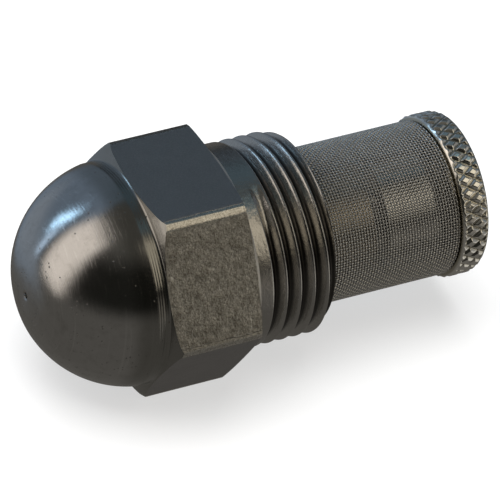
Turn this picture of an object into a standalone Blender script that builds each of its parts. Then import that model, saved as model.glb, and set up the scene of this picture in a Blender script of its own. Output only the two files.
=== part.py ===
"""Oil burner nozzle with its screw-in strainer, drawn in metres, +Z up.

The nozzle lies on one flat of its hexagon. Its axis runs along X, with the
spray orifice towards -X and the knurled strainer cap towards +X. Stations
along the axis are given in millimetres from the hexagon's front face.
"""

import math

import bmesh
import bpy
from mathutils import Matrix, Vector

MM = 0.001

# Hexagon: 5/8 in bar, and the axis height when it lies on a flat. Its corners
# are turned off at the rear, and a narrow rim stands between them and the neck.
HEX_AF = 15.75
HEX_FLAT_END_X = 6.66
HEX_CORNER_R = HEX_AF / 2 / math.cos(math.pi / 6)
AXIS_Z = HEX_AF / 2
FRONT_CHAMFER = 0.35
REAR_CHAMFER_X = 0.24
RIM_X = 0.24
RIM_R = 7.72

# Dome: a sphere with a slightly flattened tip, and a fillet at its foot.
DOME_R = 7.9
DOME_CENTRE_X = 0.52
TIP_X = -7.08
TIP_BLEND_ANGLE = math.radians(30)
FILLET_R = 0.5

# Shank thread, 9/16-24 UNEF, with a plain neck before it.
SHANK_R = 7.144
SHANK_END_X = 13.09
SHANK_PITCH = 25.4 / 24
SHANK_DEPTH = 0.573
SHANK_PHASE = 0.211
SHANK_THREAD_X = 8.0
SHANK_FIRST_TURN = 7.29
END_CHAMFER_R = 6.83
END_CHAMFER_X = 0.47

# Tapped bore, 3/8-32 UNEF, shared by the lock screw and the strainer.
TAP_PITCH = 25.4 / 32
TAP_MALE_R = 4.71
TAP_DEPTH = 0.42
TAP_PLAY = 0.14
TAP_MAJOR_R = TAP_MALE_R + TAP_PLAY
TAP_MINOR_R = TAP_MAJOR_R - TAP_DEPTH
TAP_FRONT_X = -0.6
SINK_R = 5.7
SINK_X = 12.49

# Swirl chamber and orifice.
ORIFICE_R = 0.2
CONE_TOP_X = -6.55
PLUG_BORE_R = 3.7

# Strainer.
SCREEN_R = 5.5
SCREEN_WALL = 0.18
SCREEN_START_X = 13.65
SCREEN_END_X = 23.45
LAND_R = 5.2
JOURNAL_R = 4.4
SOCKET_R = 4.5
GROOVE_R = 4.6
CORE_BORE_R = 4.0

# End cap and its diamond knurl.
CAP_R = 5.78
CAP_START_X = 23.52
CAP_END_X = 25.66
CAP_ROUND = 0.6
KNURL_COUNT = 38
KNURL_FIRST_X = 24.21
KNURL_STEP_X = 0.71
KNURL_TURN = math.radians(120.5)
KNURL_DEPTH = 0.26

FINE = 48
COARSE = 24

# Row origin: centred along the axis, on the plane the hexagon rests on.
CENTRE_X = (TIP_X + CAP_END_X) / 2


def clear_scene():
    for obj in list(bpy.data.objects):
        bpy.data.objects.remove(obj, do_unlink=True)


def material(name, colour, metallic, roughness):
    mat = bpy.data.materials.new(name)
    mat.use_nodes = True
    shader = mat.node_tree.nodes["Principled BSDF"]
    shader.inputs["Base Color"].default_value = (*colour, 1.0)
    shader.inputs["Metallic"].default_value = metallic
    shader.inputs["Roughness"].default_value = roughness
    mat.diffuse_color = (*colour, 1.0)
    return mat


def new_object(name, bm, mat=None):
    bmesh.ops.recalc_face_normals(bm, faces=bm.faces)
    mesh = bpy.data.meshes.new(name)
    bm.to_mesh(mesh)
    bm.free()
    obj = bpy.data.objects.new(name, mesh)
    bpy.context.scene.collection.objects.link(obj)
    if mat:
        mesh.materials.append(mat)
    return obj


def smooth(obj, angle=32):
    obj.data.shade_smooth()
    obj.data.set_sharp_from_angle(angle=math.radians(angle))
    return obj


class Skin:
    """Builds a surface round the X axis ring by ring.

    A ring is a list of (x, r) stations in mm, one per column. Neighbouring
    rings are joined by faces; stations that fall together share one vertex.
    """

    def __init__(self):
        self.bm = bmesh.new()
        self.pool = {}
        self.rings = []

    def vert(self, x, r, turn):
        if r < 1e-4:
            key = (round(x, 4), 0.0, 0.0)
        else:
            key = (round(x, 4), round(r, 4), round(turn % 1.0, 5))
        if key not in self.pool:
            a = math.tau * key[2]
            point = (key[0] * MM, key[1] * MM * math.cos(a), key[1] * MM * math.sin(a))
            self.pool[key] = self.bm.verts.new(point)
        return self.pool[key]

    def face(self, corners):
        kept = [v for i, v in enumerate(corners) if v is not corners[i - 1]]
        if len(set(kept)) == len(kept) >= 3:
            self.bm.faces.new(kept)

    def join(self, low, high):
        n = max(len(low), len(high))
        step_low = n // len(low)
        step_high = n // len(high)
        for i in range(n):
            a = low[i // step_low]
            b = low[(i + 1) // step_low % len(low)]
            c = high[(i + 1) // step_high % len(high)]
            d = high[i // step_high]
            self.face([a, b, c, d])

    def ring(self, stations):
        n = len(stations)
        verts = [self.vert(x, r, i / n) for i, (x, r) in enumerate(stations)]
        if self.rings:
            self.join(self.rings[-1], verts)
        self.rings.append(verts)

    def round(self, x, r, columns):
        self.ring([(x, r)] * columns)

    def turn(self, outline, columns):
        for x, r in outline:
            self.round(x, r, columns)

    def close(self):
        self.join(self.rings[-1], self.rings[0])
        return self.bm

    def thread(self, pitch, phase, x0, x1, points, radius, columns):
        """A helical band between the planes x0 and x1, for a right-hand thread.

        points are the section's corners along one pitch, and radius(x, turns)
        gives the surface at station x, turns being the helix coordinate.
        """
        per_turn = len(points)
        first = math.floor((x0 - phase) / pitch) - 2
        last = math.ceil((x1 - phase) / pitch) + 1
        grid = []
        for i in range(columns):
            share = i / columns
            line = []
            for k in range(first, last + 1):
                for along in points:
                    x = phase + pitch * (k + share) + along
                    x = min(max(x, x0), x1)
                    line.append(self.vert(x, radius(x, (x - phase) / pitch, share), share))
            grid.append(line)
        rows = len(grid[0])
        if self.rings:
            self.join(self.rings[-1], [line[0] for line in grid])
        for i in range(columns):
            here = grid[i]
            there = grid[(i + 1) % columns]
            shift = per_turn if i == columns - 1 else 0
            for k in range(rows - 1):
                a = min(k + shift, rows - 1)
                b = min(k + 1 + shift, rows - 1)
                self.face([here[k], here[k + 1], there[b], there[a]])
        self.rings.append([line[-1] for line in grid])


def turned(outline, columns):
    """A closed outline of (x, r) stations, in mm, turned once round the axis."""
    skin = Skin()
    skin.turn(outline, columns)
    return skin.close()


def turned_solid(outline, columns):
    """As turned, for an outline that starts and ends on the axis."""
    skin = Skin()
    skin.turn(outline, columns)
    return skin.bm


def arc(cx, cr, radius, start, end, steps):
    """Stations on an arc; angles in degrees, measured from +X towards +r."""
    points = []
    for i in range(steps + 1):
        a = math.radians(start + (end - start) * i / steps)
        points.append((cx + radius * math.cos(a), cr + radius * math.sin(a)))
    return points


def vee(x, share, play):
    """Radius of the 3/8-32 thread at station x; play is 0 on the male pieces."""
    t = ((x / TAP_PITCH) - share) % 1.0
    return TAP_MALE_R + play - TAP_DEPTH * (1 - abs(1 - 2 * t))


def box(x0, x1, y0, y1, z0, z1):
    bm = bmesh.new()
    bmesh.ops.create_cube(bm, size=1.0)
    size = Vector(((x1 - x0) * MM, (y1 - y0) * MM, (z1 - z0) * MM))
    mid = Vector(((x0 + x1) / 2 * MM, (y0 + y1) / 2 * MM, (z0 + z1) / 2 * MM))
    bmesh.ops.scale(bm, vec=size, verts=bm.verts)
    bmesh.ops.translate(bm, vec=mid, verts=bm.verts)
    return bm


def cross_rod(x, radius, length, turn, segments=12):
    """A rod across the axis at station x, turned by turn about the axis."""
    bm = bmesh.new()
    bmesh.ops.create_cone(
        bm,
        cap_ends=True,
        segments=segments,
        radius1=radius * MM,
        radius2=radius * MM,
        depth=length * MM,
    )
    spin = Matrix.Rotation(turn, 4, "X")
    bmesh.ops.transform(bm, matrix=Matrix.Translation((x * MM, 0, 0)) @ spin, verts=bm.verts)
    return bm


def cut(target, bm, name):
    """Subtract a cutter now, so that only the finished piece stays."""
    cutter = new_object(name, bm)
    cutter.hide_render = True
    cutter.display_type = "WIRE"
    mod = target.modifiers.new(name, "BOOLEAN")
    mod.operation = "DIFFERENCE"
    mod.solver = "EXACT"
    mod.object = cutter
    graph = bpy.context.evaluated_depsgraph_get()
    mesh = bpy.data.meshes.new_from_object(target.evaluated_get(graph))
    target.modifiers.remove(mod)
    old = target.data
    target.data = mesh
    mesh.name = old.name
    bpy.data.meshes.remove(old)
    bpy.data.objects.remove(cutter, do_unlink=True)


def tip_stations():
    """The flattened tip: a power curve that meets the sphere tangentially."""
    x_blend = DOME_CENTRE_X - DOME_R * math.cos(TIP_BLEND_ANGLE)
    r_blend = DOME_R * math.sin(TIP_BLEND_ANGLE)
    rise = x_blend - TIP_X
    power = math.tan(TIP_BLEND_ANGLE) * r_blend / rise
    points = []
    for share in (0.3, 0.5, 0.7, 0.85, 1.0):
        points.append((TIP_X + rise * share**power, r_blend * share))
    return points


def dome_stations():
    foot_x = -FILLET_R
    foot_angle = math.degrees(math.acos((DOME_CENTRE_X - foot_x) / DOME_R))
    start = math.degrees(TIP_BLEND_ANGLE)
    sphere = []
    steps = 11
    for i in range(1, steps + 1):
        a = math.radians(start + (foot_angle - start) * i / steps)
        sphere.append((DOME_CENTRE_X - DOME_R * math.cos(a), DOME_R * math.sin(a)))
    foot_r = sphere[-1][1]
    fillet = arc(foot_x, foot_r + FILLET_R, FILLET_R, -90, 0, 4)[1:]
    return sphere + fillet


def hex_radius(share):
    """Distance from the axis to the hexagon, at a share of a full turn."""
    off = (share * 360) % 60 - 30
    return HEX_AF / 2 / math.cos(math.radians(off))


def trimmed(outline, share):
    """An outline whose stations outside the hexagon are drawn in to its flat."""
    limit = hex_radius(share)
    low = min(range(len(outline)), key=lambda i: outline[i][1])
    order = outline if low == 0 else outline[::-1]
    edge = order[-1]
    for (xa, ra), (xb, rb) in zip(order, order[1:]):
        if ra <= limit < rb:
            edge = (xa + (xb - xa) * (limit - ra) / (rb - ra), limit)
    return [(x, r) if r <= limit else edge for x, r in outline]


def hex_rings(skin, outline):
    columns = [trimmed(outline, i / FINE) for i in range(FINE)]
    for row in zip(*columns):
        skin.ring(list(row))


def shank_radius(x, turns, share):
    """The 9/16-24 thread with its run-out at the neck and its end bevel."""
    crest = SHANK_R
    bevel = (x - (SHANK_END_X - END_CHAMFER_X)) / END_CHAMFER_X
    if bevel > 0:
        crest -= bevel * (SHANK_R - END_CHAMFER_R)
    t = (turns - share) % 1.0
    from_crest = min(t, 1 - t) * SHANK_PITCH - SHANK_PITCH / 16
    depth = SHANK_DEPTH * min(1.0, max(0.0, from_crest / (SHANK_PITCH * 5 / 16)))
    groove_turn = math.floor(turns - share) + share
    depth *= min(1.0, max(0.0, (groove_turn - SHANK_FIRST_TURN) / 0.09))
    return min(crest, SHANK_R - depth)


def tap_radius(x, turns, share):
    """The tapped bore, with its run-out in front and its sunk mouth."""
    entry = min(1.0, max(0.0, (x - TAP_FRONT_X) / 0.7))
    mouth = TAP_MAJOR_R + 0.1 - (SINK_X - x)
    cut_r = TAP_MINOR_R + (vee(x, share, TAP_PLAY) - TAP_MINOR_R) * entry
    return max(cut_r, mouth)


def make_body(mat):
    corner = HEX_CORNER_R
    skin = Skin()
    skin.turn(tip_stations(), FINE)
    dome = dome_stations()
    skin.turn(dome[:-4], FINE)
    front = dome[-5:] + [(0.0, corner - FRONT_CHAMFER), (FRONT_CHAMFER, corner)]
    hex_rings(skin, front)
    rim_x = HEX_FLAT_END_X + RIM_X
    rear = [
        (HEX_FLAT_END_X - REAR_CHAMFER_X, corner),
        (HEX_FLAT_END_X, HEX_AF / 2),
        (rim_x, RIM_R),
        (rim_x, SHANK_R),
    ]
    hex_rings(skin, rear)
    flat = SHANK_PITCH / 16
    half = SHANK_PITCH / 2 - SHANK_PITCH / 8
    points = [-flat, flat, half, SHANK_PITCH - half]
    skin.round(SHANK_THREAD_X, SHANK_R, FINE)
    skin.thread(
        SHANK_PITCH, SHANK_PHASE, SHANK_THREAD_X, SHANK_END_X, points, shank_radius, FINE
    )
    skin.turn([(SHANK_END_X, SINK_R), (SINK_X, SINK_R)], FINE)

    inner = Skin()
    inner.bm = skin.bm
    inner.pool = skin.pool
    cone_end_x = CONE_TOP_X + PLUG_BORE_R - ORIFICE_R
    bore = [
        (TIP_X, ORIFICE_R),
        (CONE_TOP_X, ORIFICE_R),
        (cone_end_x, PLUG_BORE_R),
        (TAP_FRONT_X, PLUG_BORE_R),
        (TAP_FRONT_X, TAP_MINOR_R),
    ]
    inner.turn(bore, COARSE)
    points = [0.0, TAP_PITCH / 2]
    inner.thread(TAP_PITCH, 0.0, TAP_FRONT_X, SINK_X, points, tap_radius, COARSE)
    skin.join(skin.rings[-1], inner.rings[-1])
    skin.join(inner.rings[0], skin.rings[0])
    return smooth(new_object("nozzle_body", skin.bm, mat))


def slope_slot(turn):
    """A tangential slot down the plug's 45 degree nose."""
    bm = box(-3.2, 3.2, 0.55, 1.0, -0.55, 1.4)
    lean = Matrix.Rotation(math.radians(-45), 4, "Y")
    mid_x = (-5.909 - 3.009) / 2
    mid_r = mid_x + 6.609
    move = Matrix.Translation((mid_x * MM, 0, mid_r * MM))
    spin = Matrix.Rotation(turn, 4, "X")
    bmesh.ops.transform(bm, matrix=spin @ move @ lean, verts=bm.verts)
    return bm


def side_slot(turn):
    """An axial slot that feeds one tangential slot."""
    bm = box(-3.35, -1.5, 0.4, 1.2, 2.75, 4.2)
    bmesh.ops.rotate(bm, cent=(0, 0, 0), matrix=Matrix.Rotation(turn, 3, "X"), verts=bm.verts)
    return bm


def make_swirl_plug(mat):
    outline = [
        (-5.909, 0.0),
        (-5.909, 0.7),
        (-3.009, 3.6),
        (-1.95, 3.6),
        (-1.8, 3.45),
        (-1.8, 0.0),
    ]
    obj = new_object("swirl_plug", turned_solid(outline, COARSE), mat)
    for k in range(4):
        cut(obj, slope_slot(math.tau * k / 4), "slope_slot")
        cut(obj, side_slot(math.tau * k / 4), "side_slot")
    smooth(obj)
    return obj


def male_thread(skin, x0, x1, bevel):
    """A male 3/8-32 thread, bevelled by the stated width at both of its ends."""

    def radius(x, turns, share):
        ends = TAP_MALE_R - bevel + min(x - x0, x1 - x)
        return min(vee(x, share, 0.0), ends)

    skin.thread(TAP_PITCH, 0.0, x0, x1, [0.0, TAP_PITCH / 2], radius, COARSE)


def make_lock_screw(mat):
    skin = Skin()
    pilot = [(-1.7, 0.0), (-1.7, 2.6), (-1.5, 2.8), (-0.3, 2.8)]
    skin.turn(pilot, COARSE)
    male_thread(skin, -0.3, 3.6, 0.45)
    skin.turn([(3.6, 1.3), (-1.3, 1.3), (-1.3, 0.0)], COARSE)
    obj = new_object("lock_screw", skin.bm, mat)
    cut(obj, box(2.4, 4.0, -0.5, 0.5, -6, 6), "driver_slot")
    for k in range(2):
        cut(obj, cross_rod(-0.85, 0.4, 8, math.tau * (k / 4 + 1 / 48)), "cross_hole")
    return smooth(obj)


def make_washer(mat):
    outline = [(12.58, 4.82), (12.58, 5.5), (12.88, 5.5), (12.88, 4.82)]
    obj = new_object("sealing_washer", turned(outline, FINE), mat)
    smooth(obj)
    return obj


def make_fitting(mat):
    skin = Skin()
    skin.round(8.3, 3.2, COARSE)
    male_thread(skin, 8.3, 12.2, 0.45)
    skin.turn([(12.2, 4.2), (12.95, 4.2)], COARSE)
    shell = [
        (12.95, 5.4),
        (13.05, SCREEN_R),
        (13.6, SCREEN_R),
        (13.6, LAND_R),
        (17.1, LAND_R),
        (17.1, SOCKET_R),
        (15.6, SOCKET_R),
        (15.6, CORE_BORE_R),
        (14.1, CORE_BORE_R),
    ]
    skin.turn(shell, FINE)
    skin.round(14.1, 3.2, COARSE)
    return smooth(new_object("strainer_fitting", skin.close(), mat))


def make_core(mat):
    outline = [
        (15.7, CORE_BORE_R),
        (15.7, JOURNAL_R),
        (17.15, JOURNAL_R),
        (17.15, GROOVE_R),
        (18.0, GROOVE_R),
        (18.0, LAND_R),
        (21.75, LAND_R),
        (21.75, GROOVE_R),
        (22.6, GROOVE_R),
        (22.6, JOURNAL_R),
        (23.5, JOURNAL_R),
        (23.5, CORE_BORE_R),
    ]
    obj = new_object("strainer_core", turned(outline, 32), mat)
    for x in (17.58, 22.17):
        for k in range(2):
            turn = math.tau * (k / 4 + 1 / 64)
            cut(obj, cross_rod(x, 0.34, 12, turn, 10), "oil_hole")
    smooth(obj)
    return obj


def make_screen(mat):
    inner = SCREEN_R - SCREEN_WALL
    outline = [
        (SCREEN_START_X, inner),
        (SCREEN_START_X, SCREEN_R),
        (SCREEN_END_X, SCREEN_R),
        (SCREEN_END_X, inner),
    ]
    obj = new_object("mesh_screen", turned(outline, FINE), mat)
    smooth(obj)
    return obj


def cap_radius(x):
    """Outer radius of the cap before knurling: small front bevel, round rear."""
    front = CAP_R - max(0.0, CAP_START_X + 0.18 - x)
    tail = x - (CAP_END_X - CAP_ROUND)
    if tail <= 0:
        return front
    return CAP_R - CAP_ROUND + math.sqrt(max(0.0, CAP_ROUND**2 - tail**2))


def make_cap(mat):
    """A cup with a diamond knurl: every second grid point sinks to a groove."""
    half_pitch = math.tau / (2 * KNURL_COUNT)
    stations = [(CAP_START_X, 0), (CAP_START_X + 0.18, 0)]
    stations.append((KNURL_FIRST_X, 1))
    stations.append((KNURL_FIRST_X + KNURL_STEP_X, 2))
    stations.append((CAP_END_X - 0.27, 0))
    stations.append((CAP_END_X - 0.08, 0))
    bm = bmesh.new()

    def ring(x, radius, row=0):
        verts = []
        for i in range(2 * KNURL_COUNT):
            sink = KNURL_DEPTH if row and (i + row) % 2 == 0 else 0.0
            a = KNURL_TURN + half_pitch * (i + 1)
            r = (radius - sink) * MM
            verts.append(bm.verts.new((x * MM, r * math.cos(a), r * math.sin(a))))
        return verts

    rings = [ring(x, cap_radius(x), row) for x, row in stations]
    rings.append(ring(CAP_END_X, CAP_R - CAP_ROUND))
    rings.append(ring(CAP_END_X, 2.6))
    inside = [(24.86, 2.6), (24.86, SOCKET_R), (22.65, SOCKET_R), (22.65, LAND_R)]
    inside.append((CAP_START_X, LAND_R))
    tip = bm.verts.new((CAP_END_X * MM, 0, 0))
    hub = bm.verts.new((24.86 * MM, 0, 0))
    inner_rings = [ring(x, radius) for x, radius in inside]
    count = 2 * KNURL_COUNT
    for i in range(count):
        j = (i + 1) % count
        for row, (low, high) in enumerate(zip(rings, rings[1:])):
            even = (i + row) % 2 == 0
            if even:
                bm.faces.new((low[i], low[j], high[i]))
                bm.faces.new((low[j], high[j], high[i]))
            else:
                bm.faces.new((low[i], low[j], high[j]))
                bm.faces.new((low[i], high[j], high[i]))
        bm.faces.new((rings[-1][i], rings[-1][j], tip))
        bm.faces.new((hub, inner_rings[0][j], inner_rings[0][i]))
        for low, high in zip(inner_rings, inner_rings[1:]):
            bm.faces.new((low[i], low[j], high[j], high[i]))
        bm.faces.new((inner_rings[-1][i], inner_rings[-1][j], rings[0][j], rings[0][i]))
    obj = new_object("end_cap", bm, mat)
    smooth(obj, 20)
    return obj


def axis_empty(name, x, parent=None):
    empty = bpy.data.objects.new(name, None)
    bpy.context.scene.collection.objects.link(empty)
    empty.empty_display_size = 3 * MM
    if parent:
        empty.parent = parent
        empty.location = (x * MM, 0, 0)
    else:
        empty.location = ((x - CENTRE_X) * MM, 0, AXIS_Z * MM)
    return empty


def attach(obj, empty, x=0.0):
    """Hang a piece on its axis empty; its mesh stations start at the hexagon."""
    obj.parent = empty
    obj.location = (-x * MM, 0, 0)


def build():
    clear_scene()
    steel = material("turned_stainless", (0.36, 0.35, 0.34), 1.0, 0.32)
    bright = material("plug_stainless", (0.45, 0.44, 0.43), 1.0, 0.25)
    screw = material("screw_brass", (0.62, 0.48, 0.24), 1.0, 0.3)
    copper = material("washer_copper", (0.66, 0.36, 0.22), 1.0, 0.4)
    brass = material("fitting_brass", (0.60, 0.47, 0.25), 1.0, 0.35)
    alloy = material("core_alloy", (0.62, 0.61, 0.58), 1.0, 0.28)
    mesh = material("woven_stainless", (0.30, 0.29, 0.28), 1.0, 0.45)
    nickel = material("cap_nickel", (0.55, 0.53, 0.47), 1.0, 0.25)

    axis = axis_empty("nozzle_axis", 0.0)
    screw_axis = axis_empty("lock_screw_axis", 3.6, axis)
    strainer_axis = axis_empty("strainer_axis", SHANK_END_X, axis)

    attach(make_body(steel), axis)
    attach(make_swirl_plug(bright), screw_axis, 3.6)
    attach(make_lock_screw(screw), screw_axis, 3.6)
    attach(make_washer(copper), strainer_axis, SHANK_END_X)
    attach(make_fitting(brass), strainer_axis, SHANK_END_X)
    attach(make_core(alloy), strainer_axis, SHANK_END_X)
    attach(make_screen(mesh), strainer_axis, SHANK_END_X)
    attach(make_cap(nickel), strainer_axis, SHANK_END_X)


build()
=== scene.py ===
"""Looks of the oil burner nozzle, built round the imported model.

Row frame, metres, +Z up. The nozzle's axis runs along X. Stations along the
axis are in millimetres from the hexagon's front face, as in the design.
"""

import math

import bmesh
import bpy
from mathutils import Matrix, Vector


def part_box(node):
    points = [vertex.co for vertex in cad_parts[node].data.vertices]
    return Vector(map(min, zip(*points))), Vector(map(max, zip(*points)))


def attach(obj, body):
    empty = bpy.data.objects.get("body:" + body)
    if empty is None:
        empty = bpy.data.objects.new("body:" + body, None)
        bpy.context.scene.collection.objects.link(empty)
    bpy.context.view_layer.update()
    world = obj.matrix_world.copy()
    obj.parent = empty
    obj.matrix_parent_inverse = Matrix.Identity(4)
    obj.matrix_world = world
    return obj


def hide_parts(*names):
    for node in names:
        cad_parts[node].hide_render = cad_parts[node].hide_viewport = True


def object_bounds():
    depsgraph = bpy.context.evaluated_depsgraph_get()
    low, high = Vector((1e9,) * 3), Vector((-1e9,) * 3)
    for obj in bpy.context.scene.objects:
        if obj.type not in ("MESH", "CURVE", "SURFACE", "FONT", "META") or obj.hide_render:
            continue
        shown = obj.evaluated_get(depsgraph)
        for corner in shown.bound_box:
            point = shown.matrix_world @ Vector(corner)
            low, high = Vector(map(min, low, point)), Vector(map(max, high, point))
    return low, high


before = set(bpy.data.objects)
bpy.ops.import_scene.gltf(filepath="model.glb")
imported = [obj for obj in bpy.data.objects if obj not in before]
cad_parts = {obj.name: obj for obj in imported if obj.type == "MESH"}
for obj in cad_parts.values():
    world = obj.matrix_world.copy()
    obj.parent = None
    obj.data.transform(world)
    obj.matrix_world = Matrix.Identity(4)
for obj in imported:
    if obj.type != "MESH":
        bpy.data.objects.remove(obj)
CAD_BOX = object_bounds()

MM = 0.001

# ---------------------------------------------------------------------------
# Places taken from the frame
# ---------------------------------------------------------------------------

BODY_LOW, BODY_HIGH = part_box("nozzle_body")
SCREEN_LOW, SCREEN_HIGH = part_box("mesh_screen")
CAP_LOW, CAP_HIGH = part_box("end_cap")
FLANGE_LOW, FLANGE_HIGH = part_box("strainer_fitting")
CORE_LOW, CORE_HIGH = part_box("strainer_core")

DOME_R = 7.9
DOME_CENTRE_X = 0.52
TIP_X = -7.08
HEX_FRONT = BODY_LOW.x - TIP_X * MM
AXIS_Z = (BODY_LOW.z + BODY_HIGH.z) / 2
AXIS_POINT = Vector((HEX_FRONT, 0.0, AXIS_Z))


def station(x):
    """A row-frame X as a station in mm from the hexagon's front face."""
    return (x - HEX_FRONT) / MM


# Keeps the hexagon inside the body's box, whose numbers are rounded.
BOX_ROUNDING = 0.0003
HEX_AF = (BODY_HIGH.z - BODY_LOW.z) / MM - BOX_ROUNDING
HEX_CORNER_R = HEX_AF / 2 / math.cos(math.pi / 6)
SHANK_END_X = station(BODY_HIGH.x)
SCREEN_START_X = station(SCREEN_LOW.x)
SCREEN_END_X = station(SCREEN_HIGH.x)
SCREEN_R = (SCREEN_HIGH.z - SCREEN_LOW.z) / 2 / MM
CAP_END_X = station(CAP_HIGH.x)
CAP_R = (CAP_HIGH.z - CAP_LOW.z) / 2 / MM
STEM_START_X = station(FLANGE_LOW.x)
LAND_END_X = station(FLANGE_HIGH.x)
CORE_START_X = station(CORE_LOW.x)
CORE_END_X = station(CORE_HIGH.x)

# Body, in mm. The collar is a narrow turned band at the foot of the dome.
TIP_BLEND_ANGLE = math.radians(30)
ORIFICE_R = 0.2
ORIFICE_LIP_R = 0.225
ORIFICE_END_X = -6.8
COLLAR_R = 7.79
COLLAR_END_X = -0.16
COLLAR_FILLET_R = 0.22
COLLAR_MARKS_X = (-0.68, -0.5, -0.32)
HEX_FLAT_END_X = 6.66
REAR_CHAMFER_X = 0.24
RIM_X = 0.24
RIM_R = 7.72
BEVEL_DEPTH = 0.107
BEVEL_LEAN = math.radians(10)
SHANK_R = 7.144
SHANK_PITCH = 25.4 / 24
SHANK_DEPTH = 0.573
SHANK_PHASE = 0.211
SHANK_THREAD_X = 8.0
SHANK_FIRST_TURN = 7.29
END_CHAMFER_R = 6.83
END_CHAMFER_X = 0.47
SINK_R = 5.7
SINK_X = 12.49
CONE_TOP_X = -6.55
PLUG_BORE_R = 3.7
TAP_PITCH = 25.4 / 32
TAP_MALE_R = 4.71
TAP_DEPTH = 0.42
TAP_PLAY = 0.14
TAP_FRONT_X = -0.6

# Strainer.
FLANGE_X = 12.95
FLANGE_END_X = 13.6
STEM_NECK_X = 12.2
STEM_NECK_R = 4.2
STEM_BORE_R = 3.2
STEM_BORE_END_X = 14.1
SOCKET_FLOOR_X = 15.6
LAND_R = 5.2
LAND_SUPPORT = 0.15  # rings this far inside a land's ends keep its shading flat
CORE_LAND_X = 18.0
CORE_LAND_END_X = 21.75
OIL_HOLES_X = (17.58, 22.17)
OIL_HOLE_R = 0.34
JOURNAL_R = 4.4
JOURNAL_END_X = 17.15
REAR_JOURNAL_X = 22.6
SOCKET_R = 4.5
GROOVE_R = 4.6
CORE_BORE_R = 4.0
WIRE_PITCH = 25.4 / 120
WIRE_R = 0.051

# End cap.
CAP_START_X = 23.52
CAP_FLOOR_X = 24.86
CAP_SHOULDER_X = 22.65
CAP_ROUND = 0.6
KNURL_COUNT = 38
KNURL_FIRST_X = 24.21
KNURL_STEP_X = 0.71
KNURL_TURN = 120.5 / 360
KNURL_DEPTH = 0.2
KNURL_GROOVE = 0.5

# Columns round the axis.
FINE = 288
STEM = 144
BORE = 72
CAP = KNURL_COUNT * 16
CAP_FACES = KNURL_COUNT * 2

# The worn, speckled flat faces the front and a little up.
WORN_FLAT_TOWARD = (0.0, -0.866, 0.5)

# Camera, in degrees, mm and metres: from the front left, well above.
CAMERA_AZIMUTH = -31.46
CAMERA_ELEVATION = 41.31
CAMERA_ROLL = 8.06
CAMERA_LENS = 476.35
CAMERA_PLACE = (-0.17745, -0.29126, 0.30700)


# ---------------------------------------------------------------------------
# Surfaces round the axis
# ---------------------------------------------------------------------------


def even(share):
    return share


def near_corners(share):
    """Spreads columns so that they gather at the hexagon's corners."""
    crowding = 0.8
    return share - crowding * math.sin(math.tau * 6 * share) / (math.tau * 6)


class Skin:
    """Builds a surface round the X axis ring by ring.

    A ring is a list of (x, r) stations in mm, one per column. Neighbouring
    rings are joined by faces, and stations that fall together share a vertex.
    """

    def __init__(self, spread=even):
        self.bm = bmesh.new()
        self.pool = {}
        self.rings = []
        self.spread = spread
        self.slot = 0

    def vert(self, x, r, turn):
        x = round(x, 4)
        r = round(r, 4)
        turn = round(turn % 1.0, 6)
        key = (x, r, turn) if r > 0 else (x, 0, 0)
        if key not in self.pool:
            a = math.tau * turn
            point = (x * MM, r * MM * math.cos(a), r * MM * math.sin(a))
            self.pool[key] = self.bm.verts.new(point)
        return self.pool[key]

    def face(self, corners):
        kept = [v for i, v in enumerate(corners) if v is not corners[i - 1]]
        if len(set(kept)) == len(kept) >= 3:
            self.bm.faces.new(kept).material_index = self.slot

    def join(self, low, high):
        n = max(len(low), len(high))
        step_low = n // len(low)
        step_high = n // len(high)
        for i in range(n):
            a = low[i // step_low]
            b = low[(i + 1) // step_low % len(low)]
            c = high[(i + 1) // step_high % len(high)]
            d = high[i // step_high]
            self.face([a, b, c, d])

    def ring(self, stations):
        n = len(stations)
        verts = [self.vert(x, r, self.spread(i / n)) for i, (x, r) in enumerate(stations)]
        if self.rings:
            self.join(self.rings[-1], verts)
        self.rings.append(verts)

    def round(self, x, r, columns):
        self.ring([(x, r)] * columns)

    def turn(self, outline, columns):
        for x, r in outline:
            self.round(x, r, columns)

    def close(self):
        self.join(self.rings[-1], self.rings[0])

    def thread(self, pitch, phase, x0, x1, points, radius, columns):
        """A helical band between the planes x0 and x1, for a right-hand thread."""
        per_turn = len(points)
        first = math.floor((x0 - phase) / pitch) - 2
        last = math.ceil((x1 - phase) / pitch) + 1
        grid = []
        for i in range(columns):
            share = self.spread(i / columns)
            line = []
            for k in range(first, last + 1):
                for along in points:
                    x = phase + pitch * (k + share) + along
                    x = min(max(x, x0), x1)
                    line.append(self.vert(x, radius(x, (x - phase) / pitch, share), share))
            grid.append(line)
        rows = len(grid[0])
        if self.rings:
            self.join(self.rings[-1], [line[0] for line in grid])
        for i in range(columns):
            here = grid[i]
            there = grid[(i + 1) % columns]
            shift = per_turn if i == columns - 1 else 0
            for k in range(rows - 1):
                a = min(k + shift, rows - 1)
                b = min(k + 1 + shift, rows - 1)
                self.face([here[k], here[k + 1], there[b], there[a]])
        self.rings.append([line[-1] for line in grid])


def arc(cx, cr, radius, start, end, steps):
    """Stations on an arc; angles in degrees, measured from +X towards +r."""
    points = []
    for i in range(steps + 1):
        a = math.radians(start + (end - start) * i / steps)
        points.append((cx + radius * math.cos(a), cr + radius * math.sin(a)))
    return points


def eased(outline, size, steps=3):
    """The closed outline with every corner rounded off by about size mm."""
    points = []
    n = len(outline)
    for i in range(n):
        before = Vector(outline[i - 1])
        here = Vector(outline[i])
        after = Vector(outline[(i + 1) % n])
        reach = min(size, (before - here).length * 0.4, (after - here).length * 0.4)
        a = here + (before - here).normalized() * reach
        b = here + (after - here).normalized() * reach
        for k in range(steps + 1):
            t = k / steps
            points.append(tuple(a * (1 - t) ** 2 + here * 2 * t * (1 - t) + b * t**2))
    return points


def smooth_min(a, b, width):
    h = max(width - abs(a - b), 0.0) / width
    return min(a, b) - h * h * width / 4


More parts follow.
